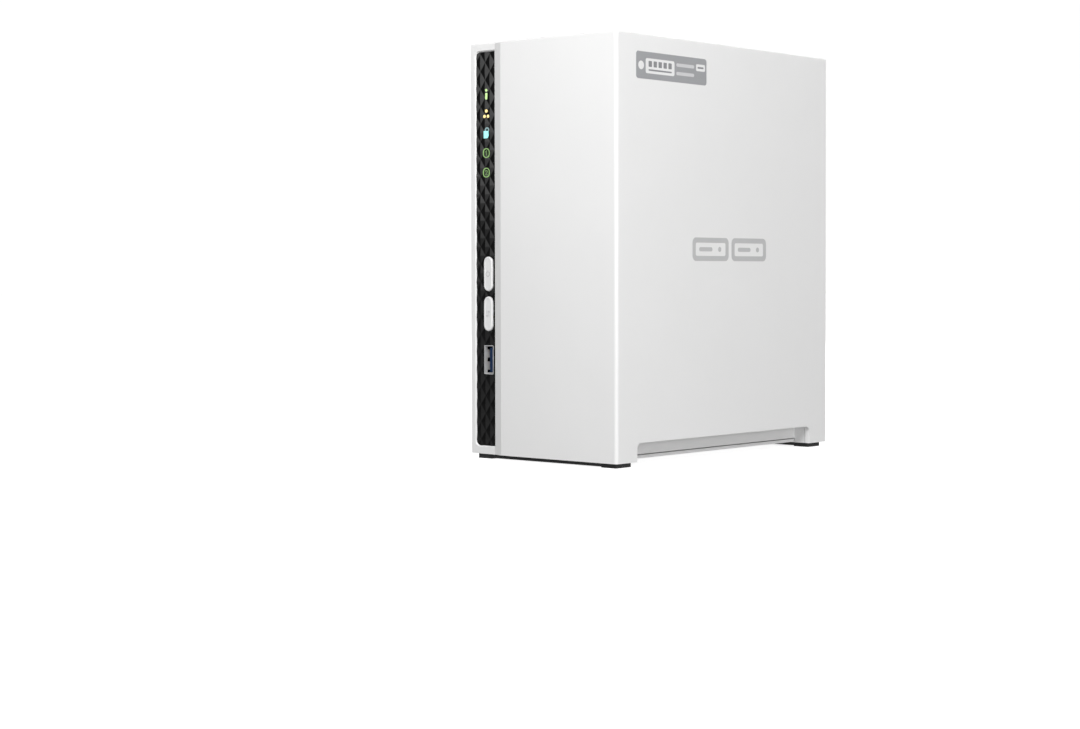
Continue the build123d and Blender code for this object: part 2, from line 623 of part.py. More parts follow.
# ---------------------------------------------------------------- drive cage and carriers
wall_names = ("cage_left_wall", "cage_middle_wall", "cage_right_wall")
for number, wall_name in enumerate(wall_names):
    x = CAGE_LEFT + (BAY + SHEET) * number
    with BuildPart() as wall:
        block((x, CAGE_FRONT, CAGE_FLOOR), (x + SHEET, CAGE_REAR - SHEET, CAGE_TOP))
        # room for the backplane and its sockets
        if number < 2:
            block((x - 1, -64, 0), (x + SHEET + 1, -6, 27), Mode.SUBTRACT)
        # air windows
        with BuildSketch(at_x(x)):
            with Locations((-20, 90)):
                with GridLocations(32, 38, 3, 3):
                    RectangleRounded(24, 30, 4)
        extrude(amount=SHEET, mode=Mode.SUBTRACT)
    wall.part.label = wall_name
    export_step(wall.part, "parts/" + wall_name + ".step")

with BuildPart() as cage_rear_wall:
    block((CAGE_LEFT, CAGE_REAR - SHEET, CAGE_FLOOR), (CAGE_RIGHT, CAGE_REAR, CAGE_TOP))
    with BuildSketch(at_y(CAGE_REAR)):
        for middle in bay_middles:
            with Locations((middle, 82)):
                with GridLocations(1, 38, 1, 3):
                    RectangleRounded(20, 30, 4)
    extrude(amount=SHEET, mode=Mode.SUBTRACT)
cage_rear_wall.part.label = "cage_rear_wall"
export_step(cage_rear_wall.part, "parts/cage_rear_wall.step")

for strip_name, near, far in (("cage_front_strip", CAGE_FRONT, -64.5), ("cage_rear_strip", 21, CAGE_REAR)):
    with BuildPart() as strip:
        block((CAGE_LEFT, near, TRAY_TOP), (CAGE_RIGHT, far, CAGE_FLOOR))
        for place in CAGE_SCREWS:
            rod(Plane.XY.offset(TRAY_TOP), place, 1.6, SHEET, Mode.SUBTRACT)
    strip.part.label = strip_name
    export_step(strip.part, "parts/" + strip_name + ".step")

with BuildPart() as cage_screws:
    for place in CAGE_SCREWS:
        rod(Plane.XY.offset(CAGE_FLOOR), place, 1.2, -5.5)
        rod(Plane.XY.offset(CAGE_FLOOR), place, 2.8, 1.4)
cage_screws.part.label = "cage_screws"
export_step(cage_screws.part, "parts/cage_screws.step")

for number, middle in enumerate(bay_middles):
    with BuildPart() as carrier:
        low_x = middle - CARRIER_WIDTH / 2
        high_x = middle + CARRIER_WIDTH / 2
        # two rails and the plate between them hold the drive; the top, bottom and right side are open
        block((low_x, RAIL_FRONT, CAGE_FLOOR), (high_x, RAIL_FRONT + CARRIER_RAIL, CARRIER_TOP))
        block((low_x, RAIL_REAR - CARRIER_RAIL, CAGE_FLOOR), (high_x, RAIL_REAR, CARRIER_TOP))
        block((low_x, RAIL_FRONT, 28), (low_x + CARRIER_PLATE, RAIL_REAR, CARRIER_TOP - 12))
        # air slots
        with BuildSketch(at_x(low_x)):
            with Locations((-20, 95)):
                with GridLocations(12, 42, 7, 3):
                    SlotOverall(32, 4.6, rotation=90)
        extrude(amount=CARRIER_PLATE, mode=Mode.SUBTRACT)
        with BuildSketch(at_y(RAIL_REAR)):
            with Locations((middle, 92)):
                with GridLocations(1, 9, 1, 13):
                    SlotOverall(18, 4.6)
        extrude(amount=RAIL_REAR - RAIL_FRONT, mode=Mode.SUBTRACT)
        # room for the heads of the cage screws
        for place in CAGE_SCREWS:
            rod(Plane.XY.offset(CAGE_FLOOR), place, 3.0, 2, Mode.SUBTRACT)
    carrier_name = "drive_tray_" + str(number + 1)
    carrier.part.label = carrier_name
    export_step(carrier.part, "parts/" + carrier_name + ".step")

# ---------------------------------------------------------------- rear panel and fan
with BuildPart() as rear_panel:
    with BuildSketch(at_y(PANEL_REAR)):
        with Locations(((LEFT + WALL + RIGHT - WALL - 0.3) / 2, (4.2 + TOP - WALL - 0.2) / 2)):
            Rectangle(TRAY_RIGHT - TRAY_LEFT, TOP - WALL - 0.2 - 4.2)
    extrude(amount=PANEL_REAR - PANEL_FRONT)
    # fan grille: rings of slots between six spokes
    with BuildSketch(at_y(PANEL_REAR)):
        with Locations((FAN_X, FAN_Z)):
            for radius in (31.4, 26.6, 21.8, 17.0, 12.2):
                Circle(radius)
                Circle(radius - 3.2, mode=Mode.SUBTRACT)
            with PolarLocations(0, 3):
                Rectangle(2.0, 70, mode=Mode.SUBTRACT)
        with Locations((FAN_X, FAN_Z)):
            with GridLocations(FAN_HOLES, FAN_HOLES, 2, 2):
                Circle(2.15)
    extrude(amount=4, mode=Mode.SUBTRACT)
    # sockets, reset pinhole, security slot and cover screws
    with BuildSketch(at_y(PANEL_REAR)):
        with Locations((INLET_X, INLET_Z)):
            Circle(4.4)
        for height in REAR_PORT_Z:
            with Locations((REAR_PORT_X, height)):
                RectangleRounded(PORT_WIDTH + 0.4, PORT_HEIGHT + 0.4, 0.5)
        with Locations((LAN_X, LAN_Z)):
            Rectangle(13.8, 16.3)
        with Locations((RESET_X, RESET_Z)):
            Circle(1.0)
        with Locations((LOCK_X, LOCK_Z)):
            RectangleRounded(3.2, 7.2, 1.0)
        for height in COVER_SCREWS_Z:
            with Locations((COVER_SCREW_X, height)):
                Circle(1.6)
    extrude(amount=4, mode=Mode.SUBTRACT)
rear_panel.part.label = "rear_panel"
export_step(rear_panel.part, "parts/rear_panel.step")

with BuildPart() as fan_frame:
    with BuildSketch(at_y(PANEL_FRONT)):
        with Locations((FAN_X, FAN_Z)):
            RectangleRounded(FAN_SIZE, FAN_SIZE, 4)
            Circle(FAN_BORE, mode=Mode.SUBTRACT)
            with GridLocations(FAN_HOLES, FAN_HOLES, 2, 2):
                Circle(2.05, mode=Mode.SUBTRACT)
    extrude(amount=FAN_DEPTH)
    # flanges stay at both faces, and the middle of each corner is cut back
    with BuildSketch(at_y(PANEL_FRONT - 4)):
        with Locations((FAN_X, FAN_Z)):
            Rectangle(FAN_SIZE + 2, FAN_SIZE + 2)
            Circle(FAN_BORE + 2.2, mode=Mode.SUBTRACT)
    extrude(amount=FAN_DEPTH - 8, mode=Mode.SUBTRACT)
    with BuildSketch(at_y(PANEL_FRONT)):
        with Locations((FAN_X, FAN_Z)):
            with PolarLocations(0, 2, start_angle=45):
                Rectangle(3.4, 2 * FAN_BORE + 1)
            Circle(15)
    extrude(amount=2.5)
    rod(at_y(PANEL_FRONT - 2.5), (FAN_X, FAN_Z), 4.0, 9.5)
    rod(at_y(PANEL_FRONT - 2.0), (FAN_X, FAN_Z), 1.55, 12, Mode.SUBTRACT)
fan_frame.part.label = "fan_frame"
export_step(fan_frame.part, "parts/fan_frame.step")

with BuildPart() as fan_rotor:
    rod(at_y(PANEL_FRONT - 3.0), (FAN_X, FAN_Z), 14.5, FAN_DEPTH - 4.5)
    rod(at_y(PANEL_FRONT - 3.0), (FAN_X, FAN_Z), 13.0, FAN_DEPTH - 6.5, Mode.SUBTRACT)
    rod(at_y(PANEL_FRONT - 2.6), (FAN_X, FAN_Z), 1.5, FAN_DEPTH - 6.0)
    blade_y = PANEL_FRONT - 13.5
    for number in range(BLADES):
        turn = radians(360 / BLADES * number)
        outward = Vector(cos(turn), 0, sin(turn))
        for radius, pitch in ((13.8, 42), (31.4, 58)):
            station = Plane(Vector(FAN_X, blade_y, FAN_Z) + outward * radius, (0, 1, 0), outward)
            with BuildSketch(station):
                Rectangle(17.0, 1.3, rotation=pitch)
        loft()
fan_rotor.part.label = "fan_rotor"
export_step(fan_rotor.part, "parts/fan_rotor.step")

with BuildPart() as fan_screws:
    with BuildSketch(at_y(PANEL_REAR)):
        with Locations((FAN_X, FAN_Z)):
            with GridLocations(FAN_HOLES, FAN_HOLES, 2, 2):
                Circle(2.0)
    extrude(amount=10)
    with BuildSketch(at_y(PANEL_REAR)):
        with Locations((FAN_X, FAN_Z)):
            with GridLocations(FAN_HOLES, FAN_HOLES, 2, 2):
                Circle(3.4)
    extrude(amount=-1.6)
    fillet(fan_screws.edges().group_by(Axis.Y)[-1], 0.6)
fan_screws.part.label = "fan_screws"
export_step(fan_screws.part, "parts/fan_screws.step")

with BuildPart() as fan_cable:
    with BuildLine() as route:
        FilletPolyline(
            (-25.5, FAN_FRONT, 92),
            (-25.5, 34, 92),
            (-25.5, HEADER_Y, HEADER_Z),
            (MAIN_FACE_X + 5.4, HEADER_Y, HEADER_Z),
            radius=3,
        )
    with BuildSketch(at_y(FAN_FRONT)):
        with Locations((-25.5, 92)):
            Circle(1.1)
    sweep()
fan_cable.part.label = "fan_cable"
export_step(fan_cable.part, "parts/fan_cable.step")

# ---------------------------------------------------------------- remaining fasteners
with BuildPart() as cover_screws:
    for height in COVER_SCREWS_Z:
        rod(at_y(PANEL_REAR), (COVER_SCREW_X, height), 1.42, 11)
        rod(at_y(PANEL_REAR), (COVER_SCREW_X, height), 2.8, -1.8)
    fillet(cover_screws.edges().group_by(Axis.Y)[-1], 0.6)
cover_screws.part.label = "cover_screws"
export_step(cover_screws.part, "parts/cover_screws.step")

with BuildPart() as plate_screws:
    for x, y in PLATE_SCREWS:
        rod(Plane.XY.offset(3.5), (x, y), 1.2, 5)
        with Locations((x, y, PLATE_BOTTOM + 0.7)):
            Cone(2.65, 1.25, 1.4)
plate_screws.part.label = "plate_screws"
export_step(plate_screws.part, "parts/plate_screws.step")
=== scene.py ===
import math

import bmesh
import bpy
from mathutils import Matrix, Vector


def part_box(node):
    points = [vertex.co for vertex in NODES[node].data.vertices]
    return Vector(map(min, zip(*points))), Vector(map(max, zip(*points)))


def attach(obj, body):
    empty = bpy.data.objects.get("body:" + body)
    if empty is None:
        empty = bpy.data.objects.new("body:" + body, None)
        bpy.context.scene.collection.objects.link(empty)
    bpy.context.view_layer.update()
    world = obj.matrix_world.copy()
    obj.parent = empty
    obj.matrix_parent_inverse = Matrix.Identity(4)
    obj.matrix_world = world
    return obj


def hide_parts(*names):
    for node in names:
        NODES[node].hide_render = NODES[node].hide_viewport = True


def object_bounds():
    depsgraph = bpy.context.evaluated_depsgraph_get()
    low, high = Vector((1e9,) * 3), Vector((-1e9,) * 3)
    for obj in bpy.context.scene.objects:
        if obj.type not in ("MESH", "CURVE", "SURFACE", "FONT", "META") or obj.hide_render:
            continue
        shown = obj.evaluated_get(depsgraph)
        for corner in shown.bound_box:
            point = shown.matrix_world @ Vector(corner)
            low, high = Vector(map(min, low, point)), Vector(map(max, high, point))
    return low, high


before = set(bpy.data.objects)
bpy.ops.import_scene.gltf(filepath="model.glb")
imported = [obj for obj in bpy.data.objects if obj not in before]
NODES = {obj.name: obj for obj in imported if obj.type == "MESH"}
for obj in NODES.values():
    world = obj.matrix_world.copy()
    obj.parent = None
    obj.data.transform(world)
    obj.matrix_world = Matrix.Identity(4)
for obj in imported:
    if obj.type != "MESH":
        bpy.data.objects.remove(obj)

CAD_LOW, CAD_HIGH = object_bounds()
MM = 0.001


# ---------------------------------------------------------------- shader helpers
def node(tree, kind, inputs=None, **settings):
    """A shader node. An input given as a socket is linked, and any other is set on the node."""
    made = tree.nodes.new("ShaderNode" + kind)
    for key, value in settings.items():
        setattr(made, key, value)
    for key, value in (inputs or {}).items():
        if isinstance(value, bpy.types.NodeSocket):
            tree.links.new(value, made.inputs[key])
        else:
            made.inputs[key].default_value = value
    return made


def rgba(colour):
    return (colour[0], colour[1], colour[2], 1.0)


def shade(colour, factor):
    return tuple(min(1.0, part * factor) for part in colour)


def blank(name, **sockets):
    """A new material with a Principled shader whose given sockets are set directly."""
    made = bpy.data.materials.new(name)
    made.use_nodes = True
    tree = made.node_tree
    shader = tree.nodes["Principled BSDF"]
    for key, value in sockets.items():
        shader.inputs[key.replace("_", " ")].default_value = value
    return made, tree, shader


def place(tree, stretch=(1, 1, 1)):
    """The point on the piece, in metres, with each axis scaled."""
    where = node(tree, "TexCoord").outputs["Object"]
    return node(tree, "Mapping", {"Vector": where, "Scale": stretch}).outputs["Vector"]


def noise(tree, where, size, detail=2.0, rough=0.5):
    """Noise whose features are about size metres across."""
    wanted = {"Vector": where, "Scale": 1 / size, "Detail": detail, "Roughness": rough}
    return node(tree, "TexNoise", wanted).outputs["Fac"]


def between(tree, factor, low, high, start=0.0, end=1.0):
    wanted = {"Value": factor, "From Min": start, "From Max": end, "To Min": low, "To Max": high}
    return node(tree, "MapRange", wanted).outputs["Result"]


def ramp(tree, factor, stops, interpolation="LINEAR"):
    """A colour ramp from (position, colour) pairs."""
    made = node(tree, "ValToRGB", {"Fac": factor})
    made.color_ramp.interpolation = interpolation
    band = made.color_ramp.elements
    while len(band) < len(stops):
        band.new(0.5)
    for element, (position, colour) in zip(band, stops):
        element.position = position
        element.color = rgba(colour)
    return made.outputs["Color"]


def bump(tree, shader, height, depth, strength=1.0, after=None):
    wanted = {"Height": height, "Distance": depth, "Strength": strength}
    if after is not None:
        wanted["Normal"] = after
    made = node(tree, "Bump", wanted)
    tree.links.new(made.outputs["Normal"], shader.inputs["Normal"])
    return made.outputs["Normal"]


def surface(name, base, rough, grain, depth, tint=0.03, swing=0.05, stretch=(1, 1, 1), patch=0.02, **sockets):
    """The common finish: a fine grain in the bump, and soft drifts of tone and of gloss."""
    made, tree, shader = blank(name, **sockets)
    where = place(tree, stretch)
    fine = noise(tree, where, grain, 3.0)
    wide = noise(tree, place(tree), patch, 3.0)
    tone = ramp(tree, wide, [(0.3, shade(base, 1 - tint)), (0.7, shade(base, 1 + tint))])
    tree.links.new(tone, shader.inputs["Base Color"])
    gloss = between(tree, noise(tree, where, patch * 0.3, 4.0), rough - swing, rough + swing, 0.3, 0.7)
    tree.links.new(gloss, shader.inputs["Roughness"])
    bump(tree, shader, fine, depth)
    return made


# ---------------------------------------------------------------- materials
WHITE = (0.83, 0.83, 0.828)


def moulded_white():
    """Matte white moulded plastic with a fine spark-eroded texture."""
    made, tree, shader = blank("white_shell")
    where = place(tree)
    cells = node(tree, "TexVoronoi", {"Vector": where, "Scale": 1 / (0.42 * MM), "Randomness": 1.0})
    fine = noise(tree, where, 0.22 * MM, 3.0)
    both = node(tree, "Math", {0: cells.outputs["Distance"], 1: fine}, operation="ADD").outputs[0]
    drift = noise(tree, where, 30 * MM, 3.0)
    tone = ramp(tree, drift, [(0.3, shade(WHITE, 0.992)), (0.7, shade(WHITE, 1.006))])
    tree.links.new(tone, shader.inputs["Base Color"])
    gloss = between(tree, noise(tree, where, 5 * MM, 4.0), 0.40, 0.48, 0.3, 0.7)
    tree.links.new(gloss, shader.inputs["Roughness"])
    shader.inputs["IOR"].default_value = 1.46
    bump(tree, shader, both, 0.006 * MM, 0.8)
    return made


def facet_black():
    """Satin black plastic, with the faint flow mottling of a moulded part."""
    made, tree, shader = blank("black_inlay", IOR=1.5)
    where = place(tree)
    mottle = noise(tree, where, 6 * MM, 3.0)
    tone = ramp(tree, mottle, [(0.35, (0.0020, 0.0020, 0.0022)), (0.65, (0.0036, 0.0036, 0.0038))])
    tree.links.new(tone, shader.inputs["Base Color"])
    gloss = between(tree, noise(tree, where, 1.5 * MM, 4.0), 0.12, 0.18, 0.3, 0.7)
    tree.links.new(gloss, shader.inputs["Roughness"])
    bump(tree, shader, noise(tree, where, 0.15 * MM, 2.0), 0.0015 * MM)
    return made


def rubber():
    made, tree, shader = blank("foot_rubber", IOR=1.45)
    where = place(tree)
    patch = noise(tree, where, 4 * MM, 4.0)
    tone = ramp(tree, patch, [(0.3, (0.032, 0.032, 0.033)), (0.7, (0.050, 0.050, 0.051))])
    tree.links.new(tone, shader.inputs["Base Color"])
    gloss = between(tree, noise(tree, where, 1.0 * MM, 3.0), 0.68, 0.82, 0.3, 0.7)
    tree.links.new(gloss, shader.inputs["Roughness"])
    bump(tree, shader, noise(tree, where, 0.25 * MM, 4.0), 0.03 * MM)
    return made


def spangled_steel(name, base, rough):
    """Zinc-plated sheet: soft crystal patches and a rolled grain."""
    made, tree, shader = blank(name, Metallic=1.0)
    where = place(tree)
    cells = node(tree, "TexVoronoi", {"Vector": where, "Scale": 1 / (5 * MM)}, feature="F1").outputs["Color"]
    patch = node(tree, "RGBToBW", {"Color": cells}).outputs["Val"]
    rolled = noise(tree, place(tree, (1, 1, 0.06)), 0.3 * MM, 4.0)
    mixed = node(tree, "Math", {0: patch, 1: rolled}, operation="MULTIPLY").outputs[0]
    tone = ramp(tree, mixed, [(0.05, shade(base, 0.82)), (0.6, shade(base, 1.15))])
    tree.links.new(tone, shader.inputs["Base Color"])
    gloss = between(tree, patch, rough - 0.06, rough + 0.1, 0.2, 0.8)
    tree.links.new(gloss, shader.inputs["Roughness"])
    bump(tree, shader, rolled, 0.004 * MM)
    return made


def circuit_board(flat):
    """Green solder mask with copper runs and plated holes under it. flat gives the board's two long axes."""
    made, tree, shader = blank("circuit_board_" + flat, IOR=1.5, Coat_Weight=0.5, Coat_Roughness=0.12)
    axes = {"x": (0, 1, 1), "y": (1, 0, 1), "z": (1, 1, 0)}[flat]
    where = place(tree, axes)
    runs = node(tree, "TexVoronoi", {"Vector": where, "Scale": 1 / (4.6 * MM), "Randomness": 0.85})
    runs.distance = "CHEBYCHEV"
    wave = node(tree, "Math", {0: runs.outputs["Distance"], 1: 9.0}, operation="MULTIPLY").outputs[0]
    stripes = node(tree, "Math", {0: wave}, operation="FRACT").outputs[0]
    pads = node(tree, "TexVoronoi", {"Vector": where, "Scale": 1 / (2.7 * MM), "Randomness": 1.0})
    mask = ramp(tree, stripes, [(0.0, (0.004, 0.055, 0.022)), (0.42, (0.004, 0.055, 0.022)),
                                (0.5, (0.008, 0.115, 0.045)), (1.0, (0.008, 0.115, 0.045))])
    plated = between(tree, pads.outputs["Distance"], 1.0, 0.0, 0.12, 0.15)
    tone = node(tree, "Mix", {"Factor": plated, "A": mask, "B": rgba((0.62, 0.52, 0.30))}, data_type="RGBA")
    tree.links.new(tone.outputs["Result"], shader.inputs["Base Color"])
    gloss = between(tree, noise(tree, where, 3 * MM, 3.0), 0.24, 0.36, 0.3, 0.7)
    tree.links.new(gloss, shader.inputs["Roughness"])
    bump(tree, shader, stripes, 0.02 * MM, 0.6)
    return made


def ribbon_cable():
    """White flat cable with its conductors showing as fine ridges."""
    made, tree, shader = blank("ribbon", IOR=1.5)
    where = place(tree)
    height = node(tree, "SeparateXYZ", {"Vector": where}).outputs["Z"]
    turns = node(tree, "Math", {0: height, 1: 2 * math.pi / MM}, operation="MULTIPLY").outputs[0]
    ridge = node(tree, "Math", {0: turns}, operation="SINE").outputs[0]
    height = between(tree, ridge, 0.0, 1.0, -1.0, 1.0)
    tone = ramp(tree, height, [(0.35, (0.80, 0.80, 0.77)), (0.8, (0.52, 0.53, 0.53))])
    tree.links.new(tone, shader.inputs["Base Color"])
    gloss = between(tree, noise(tree, where, 2 * MM, 3.0), 0.32, 0.42, 0.3, 0.7)
    tree.links.new(gloss, shader.inputs["Roughness"])
    bump(tree, shader, ridge, 0.05 * MM)
    return made


def glow(name, base, light, strength):
    """A lit diffuser: the lamp behind it makes its tone drift a little."""
    made, tree, shader = blank(name, Roughness=0.35, Emission_Strength=strength)
    where = place(tree)
    patch = noise(tree, where, 0.9 * MM, 3.0)
    tone = ramp(tree, patch, [(0.3, shade(light, 0.86)), (0.7, shade(light, 1.08))])
    tree.links.new(tone, shader.inputs["Emission Color"])
    body = ramp(tree, patch, [(0.3, shade(base, 0.9)), (0.7, base)])
    tree.links.new(body, shader.inputs["Base Color"])
    bump(tree, shader, noise(tree, where, 0.2 * MM, 2.0), 0.003 * MM)
    return made


MAT = {
    "white_shell": moulded_white(),
    "foot_rubber": rubber(),
    "black_inlay": facet_black(),
    "button_white": surface("button_white", (0.80, 0.80, 0.80), 0.34, 0.3 * MM, 0.002 * MM, 0.01, 0.04),
    "bright_steel": surface("bright_steel", (0.74, 0.74, 0.75), 0.36, 0.12 * MM, 0.003 * MM, 0.05, 0.08,
                            (1, 0.12, 1), 0.004, Metallic=0.45),
    "blue_plastic": surface("blue_plastic", (0.003, 0.020, 0.066), 0.33, 0.2 * MM, 0.003 * MM, 0.08),
    "black_plastic": surface("black_plastic", (0.018, 0.018, 0.019), 0.42, 0.25 * MM, 0.006 * MM, 0.2),
    "gold_contact": surface("gold_contact", (0.83, 0.60, 0.26), 0.24, 0.1 * MM, 0.002 * MM, 0.08, 0.06,
                            (1, 0.1, 1), 0.003, Metallic=1.0),
    "light_pipe": surface("light_pipe", (0.80, 0.83, 0.83), 0.28, 0.3 * MM, 0.004 * MM, 0.03,
                          Transmission_Weight=0.55, IOR=1.49),
    "circuit_board_x": circuit_board("x"),
    "circuit_board_y": circuit_board("y"),
    "circuit_board_z": circuit_board("z"),
    "led_body": surface("led_body", (0.86, 0.85, 0.74), 0.3, 0.2 * MM, 0.003 * MM, 0.05),
    "switch_body": surface("switch_body", (0.03, 0.03, 0.032), 0.48, 0.2 * MM, 0.006 * MM, 0.15),
    "ribbon": ribbon_cable(),
    "chip_black": surface("chip_black", (0.016, 0.016, 0.018), 0.56, 0.12 * MM, 0.008 * MM, 0.18),
    "heatsink_metal": surface("heatsink_metal", (0.62, 0.62, 0.64), 0.36, 0.15 * MM, 0.005 * MM, 0.05, 0.06,
                              (1, 0.05, 1), 0.01, Metallic=1.0),
    "capacitor_can": surface("capacitor_can", (0.70, 0.70, 0.72), 0.26, 0.15 * MM, 0.003 * MM, 0.04, 0.05,
                             (0.08, 1, 1), 0.006, Metallic=1.0),
    "battery_steel": surface("battery_steel", (0.64, 0.64, 0.64), 0.24, 0.15 * MM, 0.003 * MM, 0.05, 0.06,
                             (1, 0.1, 1), 0.006, Metallic=1.0),
    "header_white": surface("header_white", (0.80, 0.77, 0.68), 0.42, 0.3 * MM, 0.006 * MM, 0.04),
    "screw_steel": surface("screw_steel", (0.44, 0.44, 0.46), 0.25, 0.1 * MM, 0.003 * MM, 0.08, 0.07,
                           (1, 1, 1), 0.003, Metallic=1.0),
    "socket_grey": surface("socket_grey", (0.58, 0.58, 0.59), 0.3, 0.15 * MM, 0.003 * MM, 0.05, 0.06,
                           (1, 0.1, 1), 0.008, Metallic=1.0),
    "cage_steel": spangled_steel("cage_steel", (0.56, 0.57, 0.58), 0.34),
    "tray_plastic": surface("tray_plastic", (0.055, 0.055, 0.058), 0.5, 0.35 * MM, 0.01 * MM, 0.12),
    "fan_black": surface("fan_black", (0.016, 0.016, 0.017), 0.4, 0.3 * MM, 0.006 * MM, 0.2),
    "cable_black": surface("cable_black", (0.016, 0.016, 0.016), 0.5, 0.4 * MM, 0.01 * MM, 0.2),
    "label_grey": surface("label_grey", (0.335, 0.34, 0.352), 0.5, 0.25 * MM, 0.004 * MM, 0.03),
    "label_white": surface("label_white", (0.80, 0.80, 0.80), 0.5, 0.25 * MM, 0.003 * MM, 0.015),
    "label_light": surface("label_light", (0.60, 0.60, 0.61), 0.5, 0.25 * MM, 0.003 * MM, 0.03),
    "label_dark": surface("label_dark", (0.25, 0.25, 0.26), 0.5, 0.25 * MM, 0.003 * MM, 0.03),
    "print_grey": surface("print_grey", (0.52, 0.52, 0.525), 0.4, 0.2 * MM, 0.002 * MM, 0.03),
    "glyph_grey": surface("glyph_grey", (0.56, 0.56, 0.57), 0.4, 0.2 * MM, 0.002 * MM, 0.04),
    "glow_status": glow("glow_status", (0.3, 0.4, 0.2), (0.46, 0.70, 0.26), 1.0),
    "glow_link": glow("glow_link", (0.5, 0.4, 0.15), (0.98, 0.74, 0.34), 1.0),
    "glow_disk": glow("glow_disk", (0.1, 0.4, 0.4), (0.42, 0.95, 0.92), 1.0),
    "glow_ring": glow("glow_ring", (0.12, 0.2, 0.08), (0.19, 0.34, 0.11), 1.0),
    "glow_digit": glow("glow_digit", (0.06, 0.1, 0.05), (0.10, 0.17, 0.06), 1.0),
    "glow_faint": glow("glow_faint", (0.15, 0.2, 0.2), (0.20, 0.34, 0.36), 1.0),
}

SLOT_NODES = {
    "white_shell": "left_shell cover base_tray bottom_plate rear_panel",
    "foot_rubber": "front_foot rear_foot",
    "button_white": "power_button copy_button",
    "bright_steel": "front_usb_shell rear_usb_shells",
    "blue_plastic": "front_usb_tongue",
    "black_plastic": "power_inlet rear_usb_tongues backplane_socket sata_connectors reset_button",
    "gold_contact": "front_usb_contacts lan_contacts",
    "light_pipe": "status_light_pipe lan_light_pipe usb_light_pipe drive_1_light_pipe drive_2_light_pipe",
    "circuit_board_x": "main_board",
    "circuit_board_y": "front_board",
    "circuit_board_z": "backplane_board",
    "led_body": "front_leds",
    "switch_body": "button_switches reset_switch",
    "ribbon": "front_ribbon",
    "chip_black": "processor memory_chips",
    "heatsink_metal": "processor_heatsink",
    "capacitor_can": "capacitors",
    "battery_steel": "clock_battery",
    "header_white": "board_header",
    "screw_steel": "board_screws cage_screws plate_screws",
    "socket_grey": "lan_socket",
    "cage_steel": "cage_left_wall cage_middle_wall cage_right_wall cage_rear_wall "
                  "cage_front_strip cage_rear_strip",
    "tray_plastic": "drive_tray_1 drive_tray_2",
    "fan_black": "fan_frame fan_rotor",
    "cable_black": "fan_cable",
}
for slot_name, members in SLOT_NODES.items():
    for member in members.split():
        held = NODES[member].data.materials
        held.clear()
        held.append(MAT[slot_name])


# ---------------------------------------------------------------- mesh helpers
def piece(name, bm, material, body, replaces=()):
    """A finished mesh piece that rides on a CAD body."""
    bmesh.ops.recalc_face_normals(bm, faces=bm.faces[:])
    mesh = bpy.data.meshes.new(name)
    bm.to_mesh(mesh)
    bm.free()
    made = bpy.data.objects.new(name, mesh)
    bpy.context.scene.collection.objects.link(made)
    mesh.materials.append(MAT[material])
    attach(made, body)
    if replaces:
        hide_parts(*replaces)
    return made


def on_front(x, z, y):
    """Maps (right, up, proud) on the front to a point; y is the plane that proud is measured from."""
    return lambda u, v, w: Vector((x + u, y - w, z + v))


def on_side(y, z, x):
    """The same on the right-hand side, where right is towards the rear."""
    return lambda u, v, w: Vector((x + w, y + u, z + v))


def prism(bm, loop, at, low, high):
    """A flat plate with the outline loop, between two heights."""
    top = [bm.verts.new(at(u, v, high)) for u, v in loop]
    bottom = [bm.verts.new(at(u, v, low)) for u, v in loop]
    bm.faces.new(top)
    bm.faces.new(bottom[::-1])
    for number in range(len(loop)):
        after = (number + 1) % len(loop)
        bm.faces.new((top[number], bottom[number], bottom[after], top[after]))


def band(bm, outer, inner, at, low, high):
    """A flat ring between two outlines with the same number of points."""
    rings = [[bm.verts.new(at(u, v, w)) for u, v in loop] for w in (low, high) for loop in (outer, inner)]
    count = len(outer)
    for first, second in ((0, 1), (1, 3), (3, 2), (2, 0)):
        for number in range(count):
            after = (number + 1) % count
            near, far = rings[first], rings[second]
            bm.faces.new((near[number], near[after], far[after], far[number]))


def rounded(width, height, radius, steps=8, u=0.0, v=0.0):
    """The outline of a rectangle with round corners, anticlockwise."""
    loop = []
    for turn, (su, sv) in enumerate(((1, 1), (-1, 1), (-1, -1), (1, -1))):
        centre = (u + su * (width / 2 - radius), v + sv * (height / 2 - radius))
        for step in range(steps + 1):
            angle = math.pi / 2 * (turn + step / steps)
            loop.append((centre[0] + radius * math.cos(angle), centre[1] + radius * math.sin(angle)))
    return loop


def disc(radius, steps=28, u=0.0, v=0.0):
    turns = [2 * math.pi * number / steps for number in range(steps)]
    return [(u + radius * math.cos(angle), v + radius * math.sin(angle)) for angle in turns]


def stroke(points, width, cap_steps=6):
    """The outline of a line of that width with round ends."""
    points = [Vector(point) for point in points]
    half = width / 2
    sides = []
    for number, point in enumerate(points):
        before = (point - points[number - 1]).normalized() if number else None
        after = (points[number + 1] - point).normalized() if number < len(points) - 1 else None
        along = (before or after) + (after or before)
        along.normalize()
        across = Vector((-along.y, along.x))
        straight = before or after
        reach = half / max(0.5, abs(across.dot(Vector((-straight.y, straight.x)))))
        sides.append((point + across * reach, point - across * reach))

    def cap(centre, start):
        turns = [math.pi * step / cap_steps for step in range(1, cap_steps)]
        return [centre + Matrix.Rotation(turn, 2) @ start for turn in turns]

    loop = [left for left, _ in sides][::-1]
    loop += cap(points[0], sides[0][0] - points[0])
    loop += [right for _, right in sides]
    loop += cap(points[-1], sides[-1][1] - points[-1])
    return [(point.x, point.y) for point in loop]


def arc(radius, start, end, steps=10, u=0.0, v=0.0):
    """Points along an arc, with the angles in degrees."""
    turns = [math.radians(start + (end - start) * step / steps) for step in range(steps + 1)]
    return [(u + radius * math.cos(angle), v + radius * math.sin(angle)) for angle in turns]


def middle(low_high):
    return (low_high[0] + low_high[1]) / 2


